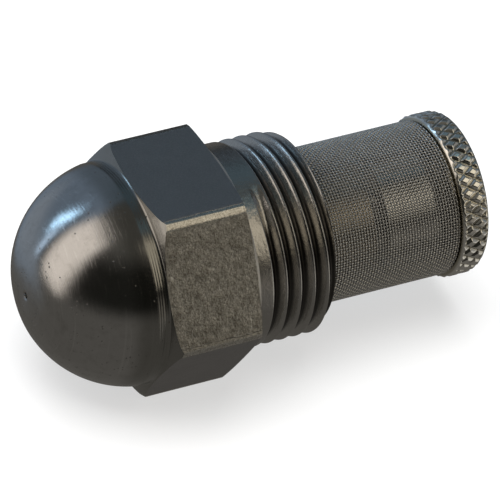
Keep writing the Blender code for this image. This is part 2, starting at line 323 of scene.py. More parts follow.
def smooth_max(a, b, width):
    return -smooth_min(-a, -b, width)


def finished(name, bm, mats, body, replaced, angle=40):
    """Makes the piece on the nozzle's axis, smooth-shaded, riding on its body."""
    bmesh.ops.recalc_face_normals(bm, faces=bm.faces)
    mesh = bpy.data.meshes.new(name)
    bm.to_mesh(mesh)
    bm.free()
    for mat in mats:
        mesh.materials.append(mat)
    mesh.shade_smooth()
    mesh.set_sharp_from_angle(angle=math.radians(angle))
    obj = bpy.data.objects.new(name, mesh)
    bpy.context.scene.collection.objects.link(obj)
    obj.location = AXIS_POINT
    bpy.context.view_layer.update()
    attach(obj, body)
    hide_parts(replaced)
    return obj


# ---------------------------------------------------------------------------
# Materials
# ---------------------------------------------------------------------------


class Graph:
    """Short spellings for building a node tree."""

    def __init__(self, tree):
        self.tree = tree
        self.tree.nodes.clear()

    def node(self, kind, **settings):
        made = self.tree.nodes.new(kind)
        for key, value in settings.items():
            setattr(made, key, value)
        return made

    def plug(self, socket, value):
        if isinstance(value, bpy.types.NodeSocket):
            self.tree.links.new(value, socket)
        else:
            socket.default_value = value

    def math(self, operation, a, b=0.0, c=0.0, clamp=False):
        made = self.node("ShaderNodeMath", operation=operation, use_clamp=clamp)
        for socket, value in zip(made.inputs, (a, b, c)):
            self.plug(socket, value)
        return made.outputs[0]

    def vector(self, operation, a, b=(0, 0, 0)):
        made = self.node("ShaderNodeVectorMath", operation=operation)
        self.plug(made.inputs[0], a)
        self.plug(made.inputs[1], b)
        return made.outputs["Value" if operation in ("DOT_PRODUCT", "LENGTH") else "Vector"]

    def scaled(self, vector, factor):
        made = self.node("ShaderNodeVectorMath", operation="SCALE")
        self.plug(made.inputs[0], vector)
        made.inputs["Scale"].default_value = factor
        return made.outputs["Vector"]

    def step(self, value, low, high, to_low=0.0, to_high=1.0):
        """A smooth step from low to high."""
        made = self.node("ShaderNodeMapRange", interpolation_type="SMOOTHSTEP")
        for name, number in (
            ("From Min", low), ("From Max", high), ("To Min", to_low), ("To Max", to_high)
        ):
            made.inputs[name].default_value = number
        self.plug(made.inputs["Value"], value)
        return made.outputs[0]

    def noise(self, vector, scale, detail=3.0, roughness=0.55):
        made = self.node("ShaderNodeTexNoise")
        self.plug(made.inputs["Vector"], vector)
        made.inputs["Scale"].default_value = scale
        made.inputs["Detail"].default_value = detail
        made.inputs["Roughness"].default_value = roughness
        return made.outputs[0]

    def cells(self, vector, scale):
        """(distance to the nearest point, its random colour) of a cell pattern."""
        made = self.node("ShaderNodeTexVoronoi")
        self.plug(made.inputs["Vector"], vector)
        made.inputs["Scale"].default_value = scale
        return made.outputs["Distance"], made.outputs["Color"]

    def mix(self, share, a, b):
        made = self.node("ShaderNodeMix", data_type="RGBA")
        self.plug(made.inputs["Factor"], share)
        for socket, value in zip([s for s in made.inputs if s.type == "RGBA"], (a, b)):
            self.plug(socket, (*value, 1.0) if isinstance(value, tuple) else value)
        return next(s for s in made.outputs if s.type == "RGBA")

    def xyz(self, vector):
        made = self.node("ShaderNodeSeparateXYZ")
        self.plug(made.inputs[0], vector)
        return made.outputs

    def combined(self, x, y, z):
        made = self.node("ShaderNodeCombineXYZ")
        for socket, value in zip(made.inputs, (x, y, z)):
            self.plug(socket, value)
        return made.outputs[0]

    def bump(self, height, distance, strength=1.0, onto=None):
        made = self.node("ShaderNodeBump")
        made.inputs["Strength"].default_value = strength
        made.inputs["Distance"].default_value = distance
        self.plug(made.inputs["Height"], height)
        if onto:
            self.plug(made.inputs["Normal"], onto)
        return made.outputs[0]


class Metal(Graph):
    """A metal with coordinates in mm about the nozzle's axis."""

    def __init__(self, name, on_axis=True):
        self.material = bpy.data.materials.new(name)
        self.material.use_nodes = True
        super().__init__(self.material.node_tree)
        self.shader = self.node("ShaderNodeBsdfPrincipled")
        self.shader.inputs["Metallic"].default_value = 1.0
        output = self.node("ShaderNodeOutputMaterial")
        self.tree.links.new(self.shader.outputs[0], output.inputs[0])
        place = self.node("ShaderNodeTexCoord").outputs["Object"]
        if not on_axis:
            place = self.vector("SUBTRACT", place, tuple(AXIS_POINT))
        self.place = self.scaled(place, 1 / MM)
        self.x, self.y, self.z = self.xyz(self.place)
        across = self.combined(0.0, self.y, self.z)
        self.r = self.vector("LENGTH", across)

    def rings(self):
        """Coordinates that are the same all the way round, for turned marks."""
        return self.combined(self.x, self.r, 0.0)

    def nearly_rings(self, drift=0.06):
        """As rings, with a little drift so that marks start and stop."""
        return self.combined(self.x, self.r, self.math("MULTIPLY", self.y, drift))

    def around(self):
        """The direction of turning, for stretched highlights."""
        tangent = self.combined(0.0, self.math("MULTIPLY", self.z, -1.0), self.y)
        turned = self.node(
            "ShaderNodeVectorTransform",
            vector_type="VECTOR",
            convert_from="OBJECT",
            convert_to="WORLD",
        )
        self.plug(turned.inputs[0], tangent)
        return self.vector("NORMALIZE", turned.outputs[0])

    def stretched(self, amount, across=False):
        """Highlights drawn out round the axis, or across the turned marks."""
        self.shader.inputs["Anisotropic"].default_value = amount
        self.shader.inputs["Anisotropic Rotation"].default_value = 0.25 if across else 0.0
        self.plug(self.shader.inputs["Tangent"], self.around())

    def done(self, colour, roughness, normal=None):
        self.plug(self.shader.inputs["Base Color"], colour)
        self.plug(self.shader.inputs["Roughness"], roughness)
        if normal:
            self.plug(self.shader.inputs["Normal"], normal)
        return self.material


def between(graph, value, low, high):
    """value, from 0 to 1, spread between low and high."""
    return graph.math("MULTIPLY_ADD", value, high - low, low)


def dome_steel():
    """The turned face: fine lathe lines, a few pits, dark satin, and painted shade towards its
    foot.
    """
    m = Metal("dome_steel")
    lines = m.noise(m.rings(), 6.0, 5.0, 0.8)
    broad = m.noise(m.nearly_rings(), 1.6, 2.0)
    cloud = m.noise(m.place, 0.55, 3.0)
    smear = m.noise(m.place, 1.4, 5.0, 0.65)
    distance, colour = m.cells(m.place, 4.0)
    patch = m.step(m.noise(m.place, 0.5, 1.0), 0.46, 0.56)
    rare = m.math("GREATER_THAN", m.xyz(colour)[0], 0.72)
    rare = m.math("MULTIPLY", rare, patch)
    pit = m.math("MULTIPLY", m.step(distance, 0.12, 0.25, 1.0, 0.0), rare)
    tint = m.mix(cloud, (0.49, 0.48, 0.465), (0.60, 0.59, 0.575))
    tint = m.mix(m.step(smear, 0.45, 0.85), tint, (0.44, 0.43, 0.41))
    score = m.step(m.noise(m.nearly_rings(0.15), 5.0, 2.0), 0.6, 0.68)
    tint = m.mix(m.math("MULTIPLY", score, 0.2), tint, (0.78, 0.77, 0.75))
    # Painted shade: the dome is darkened towards its foot, beside the hexagon.
    tint = m.mix(m.step(m.x, -2.8, -1.5, 0.0, 0.65), tint, (0.22, 0.215, 0.19))
    tint = m.mix(m.math("MULTIPLY", pit, 0.8), tint, (0.10, 0.085, 0.07))
    rough = m.math("ADD", between(m, lines, 0.1, 0.2), m.math("MULTIPLY", broad, 0.04))
    rough = m.math("MULTIPLY_ADD", score, 0.08, rough)
    normal = m.bump(lines, 0.00003, 0.3)
    normal = m.bump(m.math("MULTIPLY", pit, -1.0), 0.00004, 0.6, normal)
    m.stretched(0.6, across=True)
    return m.done(tint, rough, normal)


def hexagon_steel():
    """Drawn bar stock: matte; one flat dented, speckled and painted darker towards its bottom as
    shade; edges brightened partly as wear and partly as a painted highlight.
    """
    m = Metal("hexagon_steel")
    drawn = m.noise(m.combined(m.math("MULTIPLY", m.x, 0.12), m.y, m.z), 7.0, 3.0, 0.6)
    grain = m.noise(m.place, 9.0, 3.0, 0.7)
    grit = m.noise(m.place, 7.0, 5.0, 0.8)
    cloud = m.noise(m.place, 0.8, 3.0)
    facing = m.vector("DOT_PRODUCT", m.place, WORN_FLAT_TOWARD)
    worn = m.step(facing, 7.2, 7.75)
    tint = m.mix(cloud, (0.37, 0.36, 0.365), (0.45, 0.44, 0.44))
    tint = m.mix(m.step(grain, 0.4, 0.7, 0.0, 0.35), tint, (0.62, 0.60, 0.60))
    speckled = m.mix(m.step(grit, 0.3, 0.66), (0.26, 0.235, 0.20), (0.82, 0.79, 0.72))
    dents = m.noise(m.place, 1.5, 4.0, 0.65)
    speckled = m.mix(m.step(dents, 0.42, 0.68, 0.0, 0.6), speckled, (0.24, 0.215, 0.175))
    # Painted shade: the worn flat grows darker towards its bottom, broken up by the dents.
    painted_low_shade = m.step(m.math("MULTIPLY_ADD", dents, -6.0, m.z), -7.0, 1.0, 0.45, 0.0)
    speckled = m.mix(painted_low_shade, speckled, (0.27, 0.245, 0.21))
    drawn_out = m.combined(m.x, m.math("MULTIPLY", m.y, 0.2), m.math("MULTIPLY", m.z, 0.2))
    scuffs = m.noise(drawn_out, 5.0, 2.0)
    speckled = m.mix(m.step(scuffs, 0.66, 0.72, 0.0, 0.6), speckled, (0.95, 0.93, 0.88))
    tint = m.mix(m.math("MULTIPLY", worn, 0.9), tint, speckled)
    # Edge bevels painted bright: partly wear, partly a painted highlight.
    rim = m.math("ADD", m.r, m.math("MULTIPLY", dents, 0.16))
    rim = m.step(rim, 8.96, 8.99)
    rim_wear_and_highlight = m.mix(m.step(grit, 0.35, 0.6), (0.42, 0.39, 0.34), (0.90, 0.87, 0.80))
    tint = m.mix(m.math("MULTIPLY", rim, 0.85), tint, rim_wear_and_highlight)
    turned = m.step(m.x, HEX_FLAT_END_X, HEX_FLAT_END_X + 0.04)
    tint = m.mix(turned, tint, (0.86, 0.83, 0.77))
    rough = m.math("ADD", between(m, grain, 0.3, 0.46), m.math("MULTIPLY", drawn, 0.08))
    rough = m.math("MULTIPLY_ADD", worn, 0.14, rough)
    rough = m.math("MULTIPLY_ADD", rim, -0.26, rough)
    strength = m.math("MULTIPLY_ADD", worn, 0.85, 0.15)
    strength = m.math("MULTIPLY", strength, m.math("MULTIPLY_ADD", rim, -0.8, 1.0))
    relief = m.math("MULTIPLY", dents, strength)
    normal = m.bump(relief, 0.00014)
    normal = m.bump(grain, 0.00003, 0.4, normal)
    normal = m.bump(drawn, 0.00002, 0.3, normal)
    return m.done(tint, rough, normal)


def shank_steel():
    """Neck and thread: turned, the crests brighter than the roots, which are painted dark as
    shade.
    """
    m = Metal("shank_steel")
    lines = m.noise(m.rings(), 7.0, 3.0, 0.65)
    grit = m.noise(m.place, 3.5, 4.0, 0.65)
    # Painted shade: the thread's roots are darkened by their depth below the crests.
    root_shade = m.step(m.r, SHANK_R - 0.56, SHANK_R - 0.36, 1.0, 0.0)
    tint = m.mix(grit, (0.45, 0.437, 0.414), (0.58, 0.56, 0.53))
    tint = m.mix(m.math("MULTIPLY", root_shade, 0.93), tint, (0.04, 0.036, 0.032))
    rough = m.math("ADD", between(m, grit, 0.13, 0.27), m.math("MULTIPLY", root_shade, 0.12))
    normal = m.bump(lines, 0.00002, 0.4)
    normal = m.bump(grit, 0.00006, 0.45, normal)
    m.stretched(0.35, across=True)
    return m.done(tint, rough, normal)


def bore_steel(name="bore_steel", on_axis=True):
    """Machined steel on the inside and on the swirl plug."""
    m = Metal(name, on_axis)
    lines = m.noise(m.rings(), 6.0, 3.0, 0.6)
    cloud = m.noise(m.place, 1.2, 3.0)
    tint = m.mix(cloud, (0.42, 0.41, 0.39), (0.56, 0.545, 0.52))
    return m.done(tint, between(m, lines, 0.22, 0.42), m.bump(lines, 0.00002, 0.4))


def brass(name, fresh, on_axis=True):
    """Turned brass; its tarnish is heavier where fresh is low."""
    m = Metal(name, on_axis)
    lines = m.noise(m.rings(), 6.0, 3.0, 0.6)
    cloud = m.noise(m.place, 0.9, 4.0, 0.6)
    bright = m.mix(cloud, (0.62, 0.43, 0.19), (0.78, 0.60, 0.31))
    dull = m.mix(cloud, (0.36, 0.32, 0.26), (0.50, 0.45, 0.37))
    tint = m.mix(fresh, dull, bright)
    return m.done(tint, between(m, lines, 0.18, 0.36), m.bump(lines, 0.00002, 0.4))


def copper():
    """Soft annealed copper, dull, with a few darker blotches."""
    m = Metal("washer_copper", on_axis=False)
    cloud = m.noise(m.place, 1.5, 4.0, 0.6)
    tint = m.mix(cloud, (0.48, 0.24, 0.14), (0.72, 0.40, 0.26))
    return m.done(tint, between(m, cloud, 0.3, 0.5), m.bump(cloud, 0.00003, 0.4))


def core_alloy():
    """Bright turned alloy, seen through the mesh."""
    m = Metal("core_alloy")
    lines = m.noise(m.rings(), 5.0, 3.0, 0.6)
    cloud = m.noise(m.place, 0.8, 3.0)
    tint = m.mix(cloud, (0.60, 0.59, 0.56), (0.70, 0.69, 0.66))
    return m.done(tint, between(m, lines, 0.06, 0.16), m.bump(lines, 0.00001, 0.3))


def wire_steel(name):
    """Fine drawn wire, bright where it rises and painted dark as shade where it dips under the
    crossing wires.
    """
    m = Metal(name)
    cloud = m.noise(m.place, 0.7, 4.0, 0.6)
    speck = m.noise(m.place, 4.0, 2.0)
    tint = m.mix(cloud, (0.86, 0.85, 0.825), (0.98, 0.97, 0.95))
    tint = m.mix(m.math("MULTIPLY", speck, 0.2), tint, (0.45, 0.43, 0.40))
    # Painted shade: the wire is darkened where it dips under its crossing wires.
    dip_shade = m.step(m.r, SCREEN_R - 3.4 * WIRE_R, SCREEN_R - 0.9 * WIRE_R, 0.85, 0.0)
    tint = m.mix(dip_shade, tint, (0.12, 0.115, 0.105))
    return m.done(tint, between(m, speck, 0.2, 0.34))


def cap_nickel():
    """Nickel plate, worn to bright on the knurl's points, with painted shade darkening its
    grooves.
    """
    m = Metal("cap_nickel")
    cloud = m.noise(m.place, 0.9, 4.0, 0.6)
    grit = m.noise(m.place, 6.0, 3.0)
    lines = m.noise(m.rings(), 4.0, 3.0, 0.6)
    # Bright wear on the knurl's points, and painted shade in its grooves.
    worn = m.step(m.r, CAP_R - KNURL_DEPTH, CAP_R - 0.07)
    end_face = m.step(m.x, CAP_END_X - 0.08, CAP_END_X - 0.03)
    worn = m.math("MAXIMUM", worn, m.math("MULTIPLY", end_face, between(m, lines, 0.4, 1.1)))
    tint = m.mix(worn, (0.50, 0.47, 0.39), (0.97, 0.95, 0.90))
    tint = m.mix(m.math("MULTIPLY", cloud, 0.2), tint, (0.80, 0.74, 0.60))
    turned = m.bump(lines, 0.00002, 0.3)
    return m.done(tint, between(m, grit, 0.1, 0.24), m.bump(grit, 0.00002, 0.3, turned))


# ---------------------------------------------------------------------------
# Body
# ---------------------------------------------------------------------------


def tip_stations():
    """The flattened tip: a power curve that meets the sphere tangentially."""
    x_blend = DOME_CENTRE_X - DOME_R * math.cos(TIP_BLEND_ANGLE)
    r_blend = DOME_R * math.sin(TIP_BLEND_ANGLE)
    rise = x_blend - TIP_X
    power = math.tan(TIP_BLEND_ANGLE) * r_blend / rise
    first = 0.29 / r_blend
    steps = 22
    points = []
    for i in range(steps + 1):
        share = first + (1 - first) * i / steps
        points.append((TIP_X + rise * share**power, r_blend * share))
    return points


def dome_stations():
    """The sphere from the blend on, and the collar with its three tool marks."""
    start = math.degrees(TIP_BLEND_ANGLE)
    end = math.degrees(math.asin(COLLAR_R / DOME_R))
    steps = 40
    points = []
    for i in range(1, steps + 1):
        a = math.radians(start + (end - start) * i / steps)
        points.append((DOME_CENTRE_X - DOME_R * math.cos(a), DOME_R * math.sin(a)))
    for x in COLLAR_MARKS_X:
        points += [(x - 0.05, COLLAR_R), (x, COLLAR_R - 0.015), (x + 0.05, COLLAR_R)]
    return points


def front_stations():
    """The fillet behind the collar and the shallow cone out to the corners."""
    corner = HEX_CORNER_R
    fillet = arc(COLLAR_END_X, COLLAR_R + COLLAR_FILLET_R, COLLAR_FILLET_R, -90, -22, 8)
    return fillet + [
        (0.27, corner - 0.5),
        (0.4, corner - 0.25),
        (0.58, corner - 0.08),
        (0.8, corner),
    ]


def hex_radius(share):
    """Distance from the axis to the hexagon, its long edges broken by narrow bevels."""
    off = math.radians((share * 360 + 30) % 60 - 30)
    flat = HEX_AF / 2 / math.cos(math.radians(30) - abs(off))
    bevel = HEX_CORNER_R * math.cos(BEVEL_LEAN) - BEVEL_DEPTH
    return smooth_min(flat, bevel / math.cos(off - BEVEL_LEAN), 0.012)


def trimmed(outline, limit):
    """An outline whose stations outside the hexagon are drawn in to its flat."""
    low = min(range(len(outline)), key=lambda i: outline[i][1])
    order = outline if low == 0 else outline[::-1]
    edge = order[-1]
    for (xa, ra), (xb, rb) in zip(order, order[1:]):
        if ra <= limit < rb:
            edge = (xa + (xb - xa) * (limit - ra) / (rb - ra), limit)
    return [(x, r) if r <= limit else edge for x, r in outline]


def hex_columns(skin, outline):
    return [trimmed(outline, hex_radius(skin.spread(i / FINE))) for i in range(FINE)]


def hex_rings(skin, columns):
    for row in zip(*columns):
        skin.ring(list(row))


def hex_sides(skin, front, rear):
    """The flats, with a narrow row at each end that keeps their shading flat."""
    lip = 0.04
    for share in (0.0, 0.1, 0.25, 0.4, 0.6, 0.75, 0.9, 1.0):
        row = []
        for head, tail in zip(front, rear):
            x0 = head[-1][0] + lip
            x1 = tail[0][0] - lip
            row.append((x0 + (x1 - x0) * share, head[-1][1]))
        skin.ring(row)


def shank_radius(x, turns, share):
    """The 9/16-24 thread with rounded crests, its run-out and its end bevel."""
    t = (turns - share) % 1.0
    from_crest = min(t, 1 - t) * SHANK_PITCH - SHANK_PITCH / 16
    depth = from_crest / (SHANK_PITCH * 5 / 16) * SHANK_DEPTH
    depth = smooth_max(depth, 0.0, 0.08)
    depth = smooth_min(depth, SHANK_DEPTH, 0.16)
    groove_turn = math.floor(turns - share) + share
    depth *= min(1.0, max(0.0, (groove_turn - SHANK_FIRST_TURN) / 0.09))
    bevel = (x - (SHANK_END_X - END_CHAMFER_X)) / END_CHAMFER_X
    crest = SHANK_R - max(0.0, bevel) * (SHANK_R - END_CHAMFER_R)
    return min(crest, SHANK_R - depth)


def vee(x, share, play):
    """Radius of the 3/8-32 thread at station x; play is 0 on the male pieces."""
    t = ((x / TAP_PITCH) - share) % 1.0
    return TAP_MALE_R + play - TAP_DEPTH * (1 - abs(1 - 2 * t))


def tap_radius(x, turns, share):
    """The tapped bore, with its run-out in front and its sunk mouth."""
    minor = TAP_MALE_R + TAP_PLAY - TAP_DEPTH
    entry = min(1.0, max(0.0, (x - TAP_FRONT_X) / 0.7))
    mouth = minor + TAP_DEPTH + 0.1 - (SINK_X - x)
    return max(minor + (vee(x, share, TAP_PLAY) - minor) * entry, mouth)


def thread_points(pitch, count):
    return [pitch * (i / count - 0.5) for i in range(count)]


def make_body():
    skin = Skin(near_corners)
    orifice = [
        (ORIFICE_END_X, ORIFICE_R),
        (TIP_X + 0.12, ORIFICE_R),
        (TIP_X + 0.03, ORIFICE_LIP_R),
    ]
    skin.turn(orifice, FINE)
    skin.turn(tip_stations(), FINE)
    skin.turn(dome_stations(), FINE)
    corner = HEX_CORNER_R
    front = front_stations()
    end_x = HEX_FLAT_END_X + RIM_X
    rear = [
        (HEX_FLAT_END_X - REAR_CHAMFER_X, corner),
        (HEX_FLAT_END_X - 0.11, corner - 0.5),
        (HEX_FLAT_END_X - 0.04, corner - 0.9),
        (HEX_FLAT_END_X, HEX_AF / 2),
        (end_x - 0.02, RIM_R + 0.02),
        (end_x, RIM_R),
        (end_x, SHANK_R + 0.06),
    ]
    front_columns = hex_columns(skin, front)
    rear_columns = hex_columns(skin, rear)
    hex_rings(skin, front_columns)
    skin.slot = 1
    hex_sides(skin, front_columns, rear_columns)
    hex_rings(skin, rear_columns)
    skin.slot = 2
    skin.turn([(end_x + 0.02, SHANK_R + 0.01), (end_x + 0.06, SHANK_R)], FINE)
    skin.turn([(end_x + 0.3, SHANK_R), (SHANK_THREAD_X, SHANK_R)], FINE)
    skin.thread(
        SHANK_PITCH,
        SHANK_PHASE,
        SHANK_THREAD_X,
        SHANK_END_X,
        thread_points(SHANK_PITCH, 16),
        shank_radius,
        FINE,
    )
    sink = [(SHANK_END_X, SINK_R + 0.05), (SHANK_END_X - 0.05, SINK_R), (SINK_X, SINK_R)]
    skin.turn(sink, FINE)
    skin.slot = 3

    inner = Skin()
    inner.bm = skin.bm
    inner.pool = skin.pool
    inner.slot = 3
    cone_end_x = CONE_TOP_X + PLUG_BORE_R - ORIFICE_R
    bore = [
        (CONE_TOP_X, ORIFICE_R),
        (cone_end_x, PLUG_BORE_R),
        (TAP_FRONT_X, PLUG_BORE_R),
        (TAP_FRONT_X, TAP_MALE_R + TAP_PLAY - TAP_DEPTH),
    ]
    inner.turn(bore, BORE)
    points = thread_points(TAP_PITCH, 4)
    inner.thread(TAP_PITCH, 0.0, TAP_FRONT_X, SINK_X, points, tap_radius, BORE)
    inner.join(skin.rings[-1], inner.rings[-1])
    inner.join(inner.rings[0], skin.rings[0])
    mats = [dome_steel(), hexagon_steel(), shank_steel(), bore_steel()]
    return finished("nozzle_skin", skin.bm, mats, "nozzle", "nozzle_body")


# ---------------------------------------------------------------------------
# Strainer
# ---------------------------------------------------------------------------


def male_thread(skin, x0, x1, bevel, columns):
    """A male 3/8-32 thread, bevelled by the stated width at both of its ends."""

    def radius(x, turns, share):
        ends = TAP_MALE_R - bevel + min(x - x0, x1 - x)
        return min(vee(x, share, 0.0), ends)

    skin.thread(TAP_PITCH, 0.0, x0, x1, thread_points(TAP_PITCH, 6), radius, columns)


def make_fitting():
    """The threaded stem, its flange, and the land and socket behind the screen."""
    skin = Skin()
    skin.turn([(STEM_START_X + 0.1, STEM_BORE_R), (STEM_START_X, STEM_BORE_R + 0.1)], STEM)
    male_thread(skin, STEM_START_X, STEM_NECK_X, 0.45, STEM)
    shell = [
        (STEM_NECK_X, STEM_NECK_R),
        (FLANGE_X, STEM_NECK_R),
        (FLANGE_X, SCREEN_R),
        (FLANGE_END_X, SCREEN_R),
        (FLANGE_END_X, LAND_R),
        (FLANGE_END_X + LAND_SUPPORT, LAND_R),
        (LAND_END_X - LAND_SUPPORT, LAND_R),
        (LAND_END_X, LAND_R),
        (LAND_END_X, SOCKET_R),
        (SOCKET_FLOOR_X, SOCKET_R),
        (SOCKET_FLOOR_X, CORE_BORE_R),
        (STEM_BORE_END_X, CORE_BORE_R),
        (STEM_BORE_END_X, STEM_BORE_R),
    ]
    corner_stations = 4
    skin.turn(eased(shell, 0.06)[corner_stations:], STEM)
    skin.close()
    mats = [brass("stem_brass", 0.08)]
    return finished("strainer_stem", skin.bm, mats, "strainer", "strainer_fitting")


def oil_hole(core, x, turn):
    """Drills one hole right across the core with a hidden rod."""
    bm = bmesh.new()
    bmesh.ops.create_cone(
        bm,
        cap_ends=True,
        segments=24,
        radius1=OIL_HOLE_R * MM,
        radius2=OIL_HOLE_R * MM,
        depth=12 * MM,
    )
    mesh = bpy.data.meshes.new("oil_hole_rod")
    bm.to_mesh(mesh)
    bm.free()
    rod = bpy.data.objects.new("oil_hole_rod", mesh)
    bpy.context.scene.collection.objects.link(rod)
    spin = Matrix.Rotation(turn, 4, "X")
    rod.matrix_world = Matrix.Translation(AXIS_POINT + Vector((x * MM, 0, 0))) @ spin
    rod.hide_render = True
    rod.display_type = "WIRE"
    mod = core.modifiers.new("oil_hole", "BOOLEAN")
    mod.object = rod
    mod.solver = "EXACT"
    bpy.context.view_layer.update()
    graph = bpy.context.evaluated_depsgraph_get()
    core.data = bpy.data.meshes.new_from_object(core.evaluated_get(graph))
    core.modifiers.remove(mod)
    bpy.data.objects.remove(rod, do_unlink=True)


def make_core():
    """The tube that carries the screen, with a land between two drilled grooves."""
    outline = [
        (CORE_START_X, CORE_BORE_R),
        (CORE_START_X, JOURNAL_R),
        (JOURNAL_END_X, JOURNAL_R),
        (JOURNAL_END_X, GROOVE_R),
        (CORE_LAND_X, GROOVE_R),
        (CORE_LAND_X, LAND_R),
        (CORE_LAND_X + LAND_SUPPORT, LAND_R),
        (CORE_LAND_END_X - LAND_SUPPORT, LAND_R),
        (CORE_LAND_END_X, LAND_R),
        (CORE_LAND_END_X, GROOVE_R),
        (REAR_JOURNAL_X, GROOVE_R),
        (REAR_JOURNAL_X, JOURNAL_R),
        (CORE_END_X, JOURNAL_R),
        (CORE_END_X, CORE_BORE_R),
    ]
    skin = Skin()
    skin.turn(eased(outline, 0.05), STEM)
    skin.close()
    core = finished("strainer_tube", skin.bm, [core_alloy()], "strainer", "strainer_core")
    for x in OIL_HOLES_X:
        for k in range(2):
            oil_hole(core, x, math.tau * (k / 4 + 1 / 64))
    core.data.set_sharp_from_angle(angle=math.radians(40))
    return core


def wire(bm, path, closed, sides=5):
    """Sweeps a small polygon along path, a list of (point, outward, along)."""
    loops = []
    for point, outward, along in path:
        side = outward.cross(along).normalized()
        loop = []
        for k in range(sides):
            a = math.tau * (k + 0.5) / sides
            spot = point + (outward * math.cos(a) + side * math.sin(a)) * WIRE_R * MM
            loop.append(bm.verts.new(spot))
        loops.append(loop)
    pairs = list(zip(loops, loops[1:]))
    if closed:
        pairs.append((loops[-1], loops[0]))
    else:
        bm.faces.new(loops[0])
        bm.faces.new(loops[-1][::-1])
    for low, high in pairs:
        for k in range(sides):
            j = (k + 1) % sides
            bm.faces.new((low[k], low[j], high[j], high[k]))


def make_screen():
    """Plain-woven cloth: wires along the axis, and hoops round it."""
    mid_r = SCREEN_R - 2 * WIRE_R
    count_round = 2 * round(math.pi * mid_r / WIRE_PITCH)
    length = SCREEN_END_X - SCREEN_START_X
    count_along = round(length / WIRE_PITCH)
    pitch_along = length / count_along

    lengthwise = bmesh.new()
    for i in range(count_round):
        a = math.tau * i / count_round
        outward = Vector((0, math.cos(a), math.sin(a)))
        path = []
        for k in range(2 * count_along - 1):
            x = SCREEN_START_X + pitch_along * (k + 1) / 2
            lift = WIRE_R * math.sin(math.pi * (k / 2 + i + 0.5))
            spot = Vector((x * MM, 0, 0)) + outward * (mid_r + lift) * MM
            path.append((spot, outward, Vector((1, 0, 0))))
        wire(lengthwise, path, closed=False)

    hoops = bmesh.new()
    for k in range(count_along):
        x = SCREEN_START_X + pitch_along * (k + 0.5)
        path = []
        for i in range(2 * count_round):
            a = math.tau * i / (2 * count_round)
            outward = Vector((0, math.cos(a), math.sin(a)))
            along = Vector((0, -math.sin(a), math.cos(a)))
            lift = -WIRE_R * math.sin(math.pi * (i / 2 + k + 0.5))
            spot = Vector((x * MM, 0, 0)) + outward * (mid_r + lift) * MM
            path.append((spot, outward, along))
        wire(hoops, path, closed=True)
    body = "strainer"
    finished("screen_lengthwise", lengthwise, [wire_steel("wire_steel")], body, "mesh_screen", 80)
    finished("screen_hoops", hoops, [wire_steel("hoop_steel")], body, "mesh_screen", 80)


def cap_radius(x):
    """Outer radius of the cap before knurling: small front bevel, round rear."""
    front = CAP_R - max(0.0, CAP_START_X + 0.18 - x)
    tail = x - (CAP_END_X - CAP_ROUND)
    if tail <= 0:
        return front
    return CAP_R - CAP_ROUND + math.sqrt(max(0.0, CAP_ROUND**2 - tail**2))


def knurl(x, turn):
    """Depth of the diamond knurl: two crossing sets of vee grooves."""
    u = (turn - KNURL_TURN) * KNURL_COUNT
    v = (x - KNURL_FIRST_X) / KNURL_STEP_X / 2
    deepest = 0.0
    for across in (u + v, u - v):
        away = abs((across % 1.0) - 0.5) * 2
        deepest = smooth_max(deepest, 1 - away / KNURL_GROOVE, 0.2)
    fade = min(1.0, max(0.0, (x - CAP_START_X - 0.1) / 0.2))
    fade *= min(1.0, max(0.0, (CAP_END_X - 0.12 - x) / 0.3))
    return KNURL_DEPTH * deepest * fade


def make_cap():
    """The cup: a knurled wall with a rounded rear edge, and a socket inside."""
    skin = Skin()
    skin.round(CAP_START_X, LAND_R, CAP)
    steps = 44
    for i in range(steps + 1):
        x = CAP_START_X + (CAP_END_X - CAP_START_X) * (i / steps)
        x = min(x, CAP_END_X - 0.004)
        skin.ring([(x, cap_radius(x) - knurl(x, c / CAP)) for c in range(CAP)])
    skin.round(CAP_END_X, CAP_R - CAP_ROUND - 0.05, CAP)
    skin.turn([(CAP_END_X, 0.4), (CAP_END_X, 0.0)], CAP_FACES)
    inside = Skin()
    inside.bm = skin.bm
    inside.pool = skin.pool
    cup = [
        (CAP_FLOOR_X, 0.0),
        (CAP_FLOOR_X, SOCKET_R),
        (CAP_SHOULDER_X, SOCKET_R),
        (CAP_SHOULDER_X, LAND_R - 0.05),
        (CAP_SHOULDER_X + 0.05, LAND_R),
    ]
    inside.turn(cup, CAP_FACES)
    inside.join(inside.rings[-1], skin.rings[0])
    return finished("knurled_cap", skin.bm, [cap_nickel()], "strainer", "end_cap", 60)


def dress_inner_pieces():
    """New materials for the CAD pieces that stay."""
    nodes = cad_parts
    for name, mat in (
        ("swirl_plug", bore_steel("plug_steel", on_axis=False)),
        ("lock_screw", brass("screw_brass", 0.8, on_axis=False)),
        ("sealing_washer", copper()),
    ):
        mesh = nodes[name].data
        mesh.materials.clear()
        mesh.materials.append(mat)


# ---------------------------------------------------------------------------
# Studio
# ---------------------------------------------------------------------------


def panel(graph, direction, azimuth, elevation, half_wide, half_high, blur):
    """1 inside a soft-edged rectangle of the surroundings, and 0 outside it.

    Angles in degrees. Azimuth 0 is +Y and 90 is +X.
    """
    a = math.radians(azimuth)
    e = math.radians(elevation)
    ahead = (math.sin(a) * math.cos(e), math.cos(a) * math.cos(e), math.sin(e))
    side = (math.cos(a), -math.sin(a), 0.0)
    up = (-math.sin(a) * math.sin(e), -math.cos(a) * math.sin(e), math.cos(e))
    depth = graph.vector("DOT_PRODUCT", direction, ahead)
    inside = graph.math("GREATER_THAN", depth, 0.05)
    safe = graph.math("MAXIMUM", depth, 0.05)
    soft = math.tan(math.radians(blur))
    for axis, half in ((side, half_wide), (up, half_high)):
        offset = graph.math("DIVIDE", graph.vector("DOT_PRODUCT", direction, axis), safe)
        away = graph.math("ABSOLUTE", offset)
        reach = math.tan(math.radians(half))
        edge = graph.step(away, max(0.0, reach - soft), reach + soft, 1.0, 0.0)
        inside = graph.math("MULTIPLY", inside, edge)
    return inside


